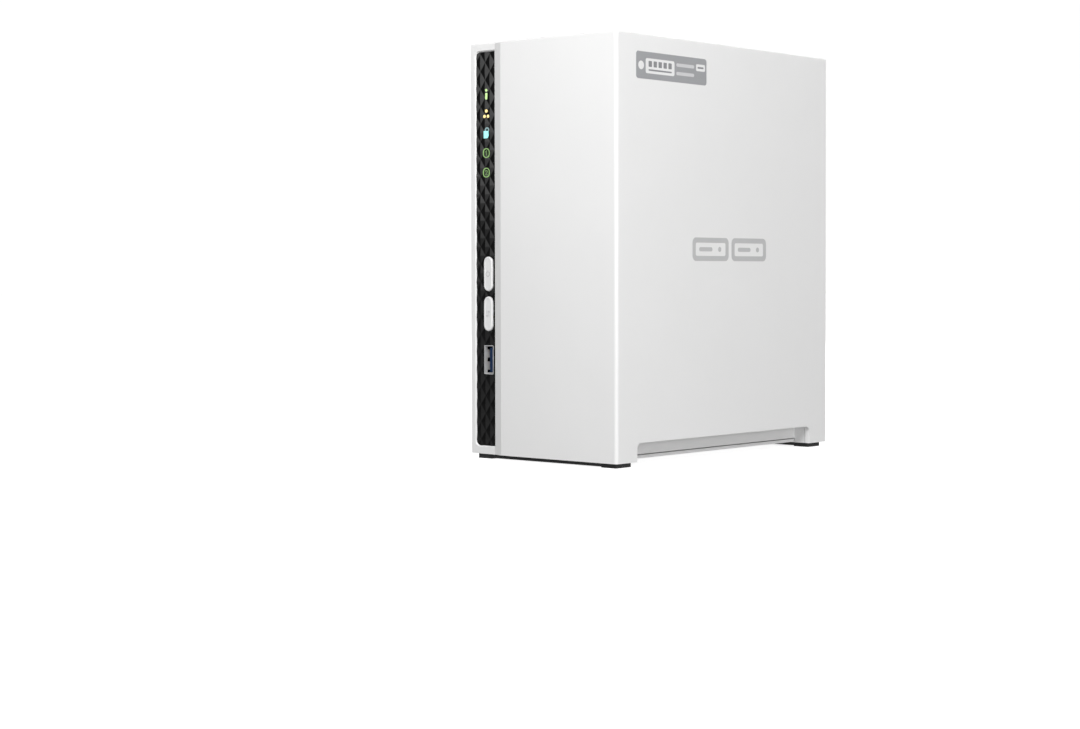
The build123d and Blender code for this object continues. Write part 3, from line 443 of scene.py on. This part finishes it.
# ---------------------------------------------------------------- faceted inlay
FACET_HALF = (3.0 * MM, 4.0 * MM)
FACET_RELIEF = 0.28 * MM
inlay_low, inlay_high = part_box("front_inlay")
CONTROL_GAP = 0.15 * MM
CONTROL_SIZE = (5.4 * MM, 15.8 * MM)
CUT_DEEP, CUT_PROUD = 0.07, 0.09


def faceted_sheet():
    """A sheet larger than the inlay, whose front is a field of shallow diamond pyramids."""
    bm = bmesh.new()
    half_u, half_v = FACET_HALF
    anchor_u = inlay_high.x - 3.3 * MM
    anchor_v = inlay_high.z - 4.75 * MM
    columns = range(-5, 4)
    rows = range(-49, 6)
    peak, valley = inlay_low.y, inlay_low.y + FACET_RELIEF
    corners = {}

    def corner(i, j):
        if (i, j) not in corners:
            corners[i, j] = bm.verts.new((anchor_u + i * half_u, valley, anchor_v + j * half_v))
        return corners[i, j]

    for i in columns:
        for j in rows:
            if (i + j) % 2:
                continue
            tip = bm.verts.new((anchor_u + i * half_u, peak, anchor_v + j * half_v))
            rim = (corner(i + 1, j), corner(i, j + 1), corner(i - 1, j), corner(i, j - 1))
            for number in range(4):
                bm.faces.new((tip, rim[number], rim[(number + 1) % 4]))
    edges = [edge for edge in bm.edges if edge.is_boundary]
    skirt = bmesh.ops.extrude_edge_only(bm, edges=edges)["geom"]
    rear = [item for item in skirt if isinstance(item, bmesh.types.BMVert)]
    for vert in rear:
        vert.co.y = inlay_high.y + 2 * MM
    bmesh.ops.holes_fill(bm, edges=[edge for edge in bm.edges if edge.is_boundary], sides=0)
    bmesh.ops.triangulate(bm, faces=[face for face in bm.faces if len(face.verts) > 4])
    return bm


def tool(name, build):
    """A shape built as a new object; most are used to cut another."""
    bm = bmesh.new()
    build(bm)
    bmesh.ops.recalc_face_normals(bm, faces=bm.faces[:])
    mesh = bpy.data.meshes.new(name)
    bm.to_mesh(mesh)
    bm.free()
    made = bpy.data.objects.new(name, mesh)
    bpy.context.scene.collection.objects.link(made)
    return made


def cut(obj, cutter, operation="DIFFERENCE"):
    """Applies a boolean with the cutter, and removes the cutter."""
    step = obj.modifiers.new("cut", "BOOLEAN")
    step.operation = operation
    step.object = cutter
    step.solver = "EXACT"
    bpy.context.view_layer.update()
    result = bpy.data.meshes.new_from_object(obj.evaluated_get(bpy.context.evaluated_depsgraph_get()))
    obj.modifiers.clear()
    obj.data = result
    bpy.data.objects.remove(cutter)


def inlay_outline():
    """The inlay's outline: round corners on the left, square ones against the cover."""
    left, right, low, high = inlay_low.x, inlay_high.x, inlay_low.z, inlay_high.z
    radius = 2.0 * MM
    loop = [(right, low), (right, high)]
    loop += arc(radius, 90, 180, 10, left + radius, high - radius)
    loop += arc(radius, 180, 270, 10, left + radius, low + radius)
    return loop


inlay = tool("front_inlay_facets", lambda bm: None)
sheet = faceted_sheet()
sheet.normal_update()
bmesh.ops.recalc_face_normals(sheet, faces=sheet.faces[:])
sheet.to_mesh(inlay.data)
sheet.free()
flat_front = on_front(0, 0, 0)
edge = tool("inlay_edge", lambda bm: prism(bm, inlay_outline(), flat_front, -inlay_high.y, CUT_PROUD))
cut(inlay, edge, "INTERSECT")
for control in ("power_button", "copy_button"):
    low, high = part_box(control)
    centre = (low + high) / 2
    width, height = (size + 2 * CONTROL_GAP for size in CONTROL_SIZE)
    hole = rounded(width, height, width / 2 - 1e-6, 12, centre.x, centre.z)
    cut(inlay, tool("hole", lambda bm: prism(bm, hole, flat_front, CUT_DEEP, CUT_PROUD)))
usb_low, usb_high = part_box("front_usb_shell")
usb_centre = (usb_low + usb_high) / 2
hole = rounded(usb_high.x - usb_low.x + 0.1 * MM, usb_high.z - usb_low.z + 0.1 * MM, 0.5 * MM, 4,
               usb_centre.x, usb_centre.z)
cut(inlay, tool("hole", lambda bm: prism(bm, hole, flat_front, CUT_DEEP, CUT_PROUD)))
inlay.data.materials.clear()
inlay.data.materials.append(MAT["black_inlay"])
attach(inlay, "chassis")
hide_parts("front_inlay")

# a thin sleeve in the inlay's black round the USB port, which shows through the port's windows as painted
# shade for the dark inside behind them
SHADE_SLEEVE_PLAY = 0.02 * MM
SHADE_SLEEVE_WALL = 0.16 * MM
SHADE_SLEEVE_DEPTH = 5.6 * MM
port_size = (usb_high.x - usb_low.x + 2 * SHADE_SLEEVE_PLAY, usb_high.z - usb_low.z + 2 * SHADE_SLEEVE_PLAY)
bm = bmesh.new()
band(bm, rounded(port_size[0] + 2 * SHADE_SLEEVE_WALL, port_size[1] + 2 * SHADE_SLEEVE_WALL, 0.6 * MM, 6),
     rounded(port_size[0], port_size[1], 0.45 * MM, 6),
     on_front(usb_centre.x, usb_centre.z, inlay_high.y), -SHADE_SLEEVE_DEPTH, 0)
# painted shade: this black sleeve darkens the port's windows
piece("usb_painted_shade_sleeve", bm, "black_inlay", "chassis")

# ---------------------------------------------------------------- lit symbols
ICON_LIFT = 0.06 * MM


def icon_place(pipe):
    low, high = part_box(pipe)
    centre = (low + high) / 2
    return on_front(centre.x, centre.z, inlay_low.y)


def icon(name, pipe, loops, material, rings=()):
    bm = bmesh.new()
    at = icon_place(pipe)
    for loop in loops:
        prism(bm, loop, at, -0.3 * MM, ICON_LIFT)
    for outer, inner in rings:
        band(bm, outer, inner, at, -0.3 * MM, ICON_LIFT)
    return piece(name, bm, material, "chassis")


icon("status_symbol", "status_light_pipe",
     [disc(0.62 * MM, 24, 0, 1.75 * MM),
      rounded(1.15 * MM, 3.0 * MM, 0.5 * MM, 8, 0, -0.95 * MM)], "glow_status")
icon("lan_symbol", "lan_light_pipe",
     [disc(0.72 * MM, 24, 0, 1.25 * MM), disc(0.72 * MM, 24, -1.15 * MM, -1.15 * MM),
      disc(0.72 * MM, 24, 1.15 * MM, -1.15 * MM)], "glow_link")
icon("usb_symbol", "usb_light_pipe",
     [[(-1.55 * MM, -2.2 * MM), (0.5 * MM, -2.2 * MM), (1.35 * MM, -1.2 * MM), (1.35 * MM, 1.1 * MM),
       (-1.55 * MM, 1.1 * MM)]], "glow_disk")
icon("usb_symbol_loop", "usb_light_pipe",
     [stroke(arc(1.05 * MM, 195, -25, 14, 0.45 * MM, 1.45 * MM), 0.5 * MM)], "glow_faint")
RING = (rounded(4.2 * MM, 4.4 * MM, 1.9 * MM, 8), rounded(3.36 * MM, 3.56 * MM, 1.48 * MM, 8))
ONE = stroke([(-0.45 * MM, 0.55 * MM), (0.12 * MM, 0.95 * MM), (0.12 * MM, -0.95 * MM)], 0.42 * MM)
TWO_TOP = arc(0.58 * MM, 165, -35, 10, 0, 0.4 * MM)
TWO = stroke(TWO_TOP + [(-0.55 * MM, -0.95 * MM), (0.65 * MM, -0.95 * MM)], 0.4 * MM)
for number, digit in ((1, ONE), (2, TWO)):
    icon(f"drive_{number}_symbol", f"drive_{number}_light_pipe", [], "glow_ring", [RING])
    icon(f"drive_{number}_digit", f"drive_{number}_light_pipe", [digit], "glow_digit")

# ---------------------------------------------------------------- symbols on the buttons
for control, width in (("power_button", 0.38 * MM), ("copy_button", 0.38 * MM)):
    low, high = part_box(control)
    centre = (low + high) / 2
    at = on_front(centre.x, centre.z, low.y + 0.15 * MM)
    bm = bmesh.new()
    if control == "power_button":
        prism(bm, stroke(arc(1.1 * MM, 125, 415, 20), width), at, -0.02 * MM, 0.03 * MM)
        prism(bm, stroke([(0, 0.35 * MM), (0, 1.5 * MM)], width), at, -0.02 * MM, 0.03 * MM)
    else:
        for sign in (1, -1):
            shaft = [(sign * 0.6 * MM, -sign * 1.4 * MM), (sign * 0.6 * MM, sign * 1.4 * MM)]
            head = [(0.05 * MM * sign, sign * 0.7 * MM), (sign * 0.6 * MM, sign * 1.4 * MM),
                    (sign * 1.15 * MM, sign * 0.7 * MM)]
            prism(bm, stroke(shaft, width), at, -0.02 * MM, 0.03 * MM)
            prism(bm, stroke(head, width), at, -0.02 * MM, 0.032 * MM)
    piece(control + "_symbol", bm, "glyph_grey", control)

# ---------------------------------------------------------------- side label and printed mark
label_low, label_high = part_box("side_label")
label_centre = (label_low + label_high) / 2
label_size = label_high - label_low
at = on_side(label_centre.y, label_centre.z, label_low.x)
SHEET = 0.05 * MM
INK = 0.065 * MM
TAG = 0.075 * MM
bm = bmesh.new()
prism(bm, rounded(label_size.y, label_size.z, 1.4 * MM, 8), at, 0, SHEET)
piece("side_label_sheet", bm, "label_grey", "cover", ["side_label"])
bm = bmesh.new()
prism(bm, rounded(19.8 * MM, 6.6 * MM, 0.9 * MM, 6, -8.2 * MM, -0.1 * MM), at, SHEET / 2, INK)
prism(bm, disc(1.9 * MM, 32, -21.2 * MM, -0.1 * MM), at, SHEET / 2, INK)
prism(bm, rounded(6.4 * MM, 3.1 * MM, 0.7 * MM, 6, 20.2 * MM, 1.7 * MM), at, SHEET / 2, INK)
piece("side_label_panels", bm, "label_white", "cover")
bm = bmesh.new()
prism(bm, rounded(12.6 * MM, 1.5 * MM, 0.7 * MM, 6, 9.3 * MM, 1.8 * MM), at, SHEET / 2, INK)
prism(bm, rounded(12.6 * MM, 1.5 * MM, 0.7 * MM, 6, 9.3 * MM, -2.0 * MM), at, SHEET / 2, INK)
piece("side_label_bars", bm, "label_light", "cover")
bm = bmesh.new()
for number in range(5):
    block_u = (-15.0 + 3.4 * number) * MM
    prism(bm, rounded(2.3 * MM, 2.6 * MM, 0.3 * MM, 4, block_u, 0.8 * MM), at, INK / 2, TAG)
prism(bm, rounded(15.9 * MM, 0.7 * MM, 0.3 * MM, 4, -8.2 * MM, -1.9 * MM), at, INK / 2, TAG)
prism(bm, rounded(4.2 * MM, 0.8 * MM, 0.3 * MM, 4, 20.2 * MM, 1.7 * MM), at, INK / 2, TAG)
piece("side_label_blocks", bm, "label_dark", "cover")

cover_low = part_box("cover")[0]
side_x = label_low.x
at = on_side(1.5 * MM, cover_low.z + 93.5 * MM, side_x)
bm = bmesh.new()
for u in (-14.3 * MM, 14.3 * MM):
    band(bm, rounded(26.4 * MM, 10.6 * MM, 2.4 * MM, 8, u), rounded(21.8 * MM, 6.0 * MM, 0.9 * MM, 8, u), at,
         -0.02 * MM, 0.04 * MM)
    prism(bm, rounded(9.6 * MM, 1.9 * MM, 0.9 * MM, 8, u - 3.6 * MM), at, -0.02 * MM, 0.04 * MM)
    prism(bm, disc(1.15 * MM, 24, u + 6.6 * MM), at, -0.02 * MM, 0.04 * MM)
piece("side_mark", bm, "print_grey", "cover")


# ---------------------------------------------------------------- screws with cross recesses
def screw(bm, centre, radius, rise, shank_radius, shank, face):
    """A pan-head screw whose head stands proud of face, along +Y, with a cross recess."""
    profile = [(radius, 0.0), (radius, 0.35 * rise)]
    for step in range(1, 6):
        angle = math.pi / 2 * step / 6
        profile.append((radius * (0.55 + 0.45 * math.cos(angle)), rise * (0.35 + 0.65 * math.sin(angle))))
    profile.append((0.55 * radius, rise))
    sides = 40
    arm, slot_half = 0.5 * radius, 0.13 * radius
    rings = []
    for reach, height in profile:
        ring = []
        for number in range(sides):
            angle = 2 * math.pi * number / sides
            ring.append(bm.verts.new((centre.x + reach * math.cos(angle), face + height,
                                      centre.z + reach * math.sin(angle))))
        rings.append(ring)
    for first, second in zip(rings, rings[1:]):
        for number in range(sides):
            after = (number + 1) % sides
            bm.faces.new((first[number], first[after], second[after], second[number]))
    # the cross, as a star of twelve points, sunk into the head
    cross = []
    for quarter in range(4):
        turn = Matrix.Rotation(math.pi / 2 * quarter, 2)
        for u, v in ((arm, -slot_half), (arm, slot_half), (slot_half, slot_half)):
            cross.append(turn @ Vector((u, v)))
    lip = [bm.verts.new((centre.x + p.x, face + rise, centre.z + p.y)) for p in cross]
    floor = [bm.verts.new((centre.x + 0.72 * p.x, face + 0.35 * rise, centre.z + 0.72 * p.y)) for p in cross]
    for number in range(12):
        after = (number + 1) % 12
        bm.faces.new((lip[number], lip[after], floor[after], floor[number]))
    bm.faces.new(floor[::-1])
    top = rings[-1]
    edges = [bm.edges.get((top[n], top[(n + 1) % sides])) for n in range(sides)]
    edges += [bm.edges.get((lip[n], lip[(n + 1) % 12])) for n in range(12)]
    bmesh.ops.triangle_fill(bm, edges=edges, use_beauty=True)
    # shank
    under = []
    taper = shank - shank_radius * 0.6
    for reach, depth in ((shank_radius, 0.0), (shank_radius, taper), (shank_radius * 0.5, shank)):
        ring = []
        for number in range(sides):
            angle = 2 * math.pi * number / sides
            ring.append(bm.verts.new((centre.x + reach * math.cos(angle), face - depth,
                                      centre.z + reach * math.sin(angle))))
        under.append(ring)
    chain = [rings[0]] + under
    for first, second in zip(chain, chain[1:]):
        for number in range(sides):
            after = (number + 1) % sides
            bm.faces.new((first[after], first[number], second[number], second[after]))
    bm.faces.new(under[-1])


def screw_set(name, source, radius, shank_radius, corners, material):
    low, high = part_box(source)
    rise = high.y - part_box("rear_panel")[1].y
    bm = bmesh.new()
    for sx, sz in corners:
        x = low.x + radius if sx < 0 else high.x - radius
        z = low.z + radius if sz < 0 else high.z - radius
        centre = Vector((x, 0, z))
        screw(bm, centre, radius, rise, shank_radius, high.y - rise - low.y, high.y - rise)
    made = piece(name, bm, material, "chassis", [source])
    for face in made.data.polygons:
        face.use_smooth = False
    return made


screw_set("cover_screws_crossed", "cover_screws", 2.8 * MM, 1.4 * MM, ((1, -1), (1, 1)),
          "screw_steel")
screw_set("fan_screws_crossed", "fan_screws", 3.4 * MM, 2.0 * MM, ((-1, -1), (-1, 1), (1, -1), (1, 1)),
          "screw_steel")

# ---------------------------------------------------------------- floor, light and camera
centre = (CAD_LOW + CAD_HIGH) / 2
floor_mesh = bpy.data.meshes.new("floor")
reach = 6.0
floor_mesh.from_pydata([(-reach, -reach, 0), (reach, -reach, 0), (reach, reach, 0), (-reach, reach, 0)], [],
                       [(0, 1, 2, 3)])
floor = bpy.data.objects.new("floor", floor_mesh)
bpy.context.scene.collection.objects.link(floor)
floor.location.z = CAD_LOW.z - 0.02 * MM
floor_material, tree, shader = blank("studio_floor", Roughness=0.9, Emission_Strength=0.84)
where = place(tree)
tone = ramp(tree, noise(tree, where, 0.05, 3.0), [(0.3, (0.60, 0.60, 0.60)), (0.7, (0.62, 0.62, 0.62))])
tree.links.new(tone, shader.inputs["Base Color"])
shader.inputs["Emission Color"].default_value = (1, 1, 1, 1)
bump(tree, shader, noise(tree, where, 0.001, 2.0), 0.00001)
floor_mesh.materials.append(floor_material)
floor.visible_diffuse = False
floor.visible_glossy = False
floor.visible_shadow = False


def lamp(name, azimuth, elevation, distance, size, power, aim, gloss=False, diffuse=True):
    """A soft lamp, size (width, height). Azimuth 0 is in front of the object, and 90 on its right."""
    data = bpy.data.lights.new(name, "AREA")
    data.shape = "RECTANGLE"
    data.size, data.size_y = size
    data.energy = power
    made = bpy.data.objects.new(name, data)
    bpy.context.scene.collection.objects.link(made)
    a, e = math.radians(azimuth), math.radians(elevation)
    towards = Vector((math.sin(a) * math.cos(e), -math.cos(a) * math.cos(e), math.sin(e)))
    made.location = aim + distance * towards
    made.rotation_euler = (aim - made.location).to_track_quat("-Z", "Y").to_euler()
    made.visible_camera = False
    made.visible_glossy = gloss
    made.visible_diffuse = diffuse
    return made


top = Vector((centre.x, centre.y, CAD_HIGH.z))
lamp("key", 30, 30, 0.70, (0.4, 0.4), 4.6, top, gloss=True)
lamp("front_right", 50, 0, 2.0, (1.0, 1.0), 8.2, centre)
lamp("right", 80, 0, 2.0, (1.0, 1.0), 7.3, centre)
lamp("left", -110, 25, 1.5, (0.8, 0.8), 12.0, centre)
lamp("back", 175, 25, 1.5, (0.8, 0.8), 8.5, centre)
# cards that only the facets reflect, as (bottom, top, radiance)
CARDS = ((0.145, 0.27, 1.55), (0.10, 0.145, 0.85), (-0.07, 0.10, 0.32))
CARD_WIDTH = 0.085
CARD_AZIMUTH = -29
CARD_DISTANCE = 0.25
for number, (low, high, radiance) in enumerate(CARDS):
    seen_from = Vector((middle((inlay_low.x, inlay_high.x)), inlay_low.y, middle((low, high))))
    power = radiance * math.pi * CARD_WIDTH * (high - low)
    lamp(f"card_{number}", CARD_AZIMUTH, 0, CARD_DISTANCE, (CARD_WIDTH, high - low), power, seen_from,
         gloss=True, diffuse=False)

world = bpy.data.worlds.new("studio")
bpy.context.scene.world = world
world.use_nodes = True
tree = world.node_tree
tree.nodes.clear()
axes = node(tree, "SeparateXYZ", {"Vector": node(tree, "TexCoord").outputs["Generated"]}).outputs
backward = node(tree, "Math", {0: axes["Y"], 1: -1.0}, operation="MULTIPLY").outputs[0]
azimuth = node(tree, "Math", {0: axes["X"], 1: backward}, operation="ARCTAN2").outputs[0]


def smooth(value, start, end, low, high):
    wanted = {"Value": value, "From Min": start, "From Max": end, "To Min": low, "To Max": high}
    return node(tree, "MapRange", wanted, interpolation_type="SMOOTHSTEP").outputs["Result"]


def product(first, second):
    return node(tree, "Math", {0: first, 1: second}, operation="MULTIPLY").outputs[0]


def blend(factor, low, high):
    return node(tree, "Mix", {"Factor": factor, "A": low, "B": high}, data_type="FLOAT").outputs["Result"]


front_left = product(smooth(azimuth, math.radians(-115), math.radians(-90), 0.0, 1.0),
                     smooth(azimuth, math.radians(-15), math.radians(0), 1.0, 0.0))
low_card = smooth(axes["Z"], -0.2, 0.1, 0.12, 0.07)
elsewhere = smooth(axes["Z"], -0.3, 0.5, 0.45, 0.8)
seen_in_gloss = blend(front_left, elsewhere, low_card)
ray = node(tree, "LightPath").outputs
fill = smooth(axes["Z"], -0.4, 0.6, 0.24, 0.30)
lit = blend(ray["Is Glossy Ray"], fill, seen_in_gloss)
BACKDROP = 1.02
strength = blend(ray["Is Camera Ray"], lit, BACKDROP)
sky = node(tree, "Background", {"Color": (1, 1, 1, 1), "Strength": strength})
node(tree, "OutputWorld", {"Surface": sky.outputs["Background"]})

camera_data = bpy.data.cameras.new("camera")
camera_data.sensor_width = 36.0
camera_data.lens = 68.264
camera_data.shift_x = -0.1389
camera_data.shift_y = -0.0458
camera_data.clip_start = 0.01
camera_data.clip_end = 50
camera = bpy.data.objects.new("camera", camera_data)
bpy.context.scene.collection.objects.link(camera)
CAMERA_YAW = math.radians(39.073)
CAMERA_PITCH = math.radians(-1.192)
camera.location = (0.62632, -0.74378, 0.08518)
camera.rotation_euler = (math.pi / 2 + CAMERA_PITCH, 0, CAMERA_YAW)
bpy.context.scene.camera = camera
bpy.context.scene.view_settings.view_transform = "Standard"
